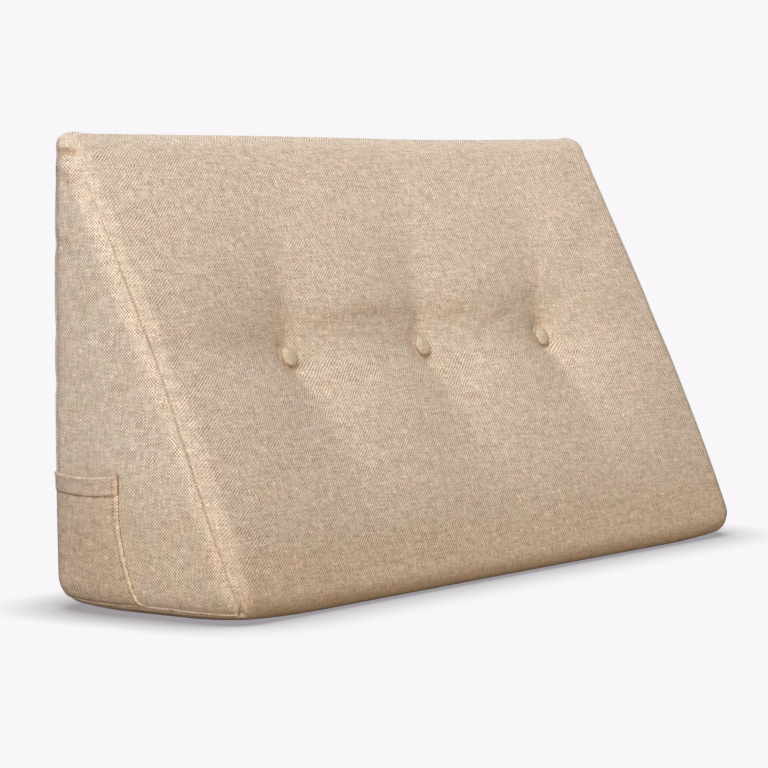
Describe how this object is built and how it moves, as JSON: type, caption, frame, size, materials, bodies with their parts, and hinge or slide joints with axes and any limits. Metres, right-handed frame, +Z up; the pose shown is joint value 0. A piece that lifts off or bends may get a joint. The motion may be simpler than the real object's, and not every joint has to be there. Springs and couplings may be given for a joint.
{
  "type": "wedge reading pillow",
  "caption": "Filled wedge pillow in linen-look cloth, slanted front drawn in by a row of covered buttons, patch pocket on one end gusset.",
  "frame": {"origin": "on the ground, under the middle of the whole pillow's box", "axes": "+X along the pillow's width, away from the pocket; +Y towards its upright back; +Z up"},
  "size_m": [1.0254, 0.2592, 0.4965],
  "materials": {
    "cover_cloth": "linen-look plain weave, sand coloured with lighter and darker flecks, matt",
    "pocket_cloth": "the cover's cloth, one layer with a turned hem and topstitching, matt",
    "button_cloth": "the cover's cloth drawn over a round button, matt"
  },
  "bodies": {
    "root": {"wedge_body": "cover_cloth", "side_pocket": "pocket_cloth", "button_1": "button_cloth", "button_2": "button_cloth", "button_3": "button_cloth"}
  },
  "joints": []
}
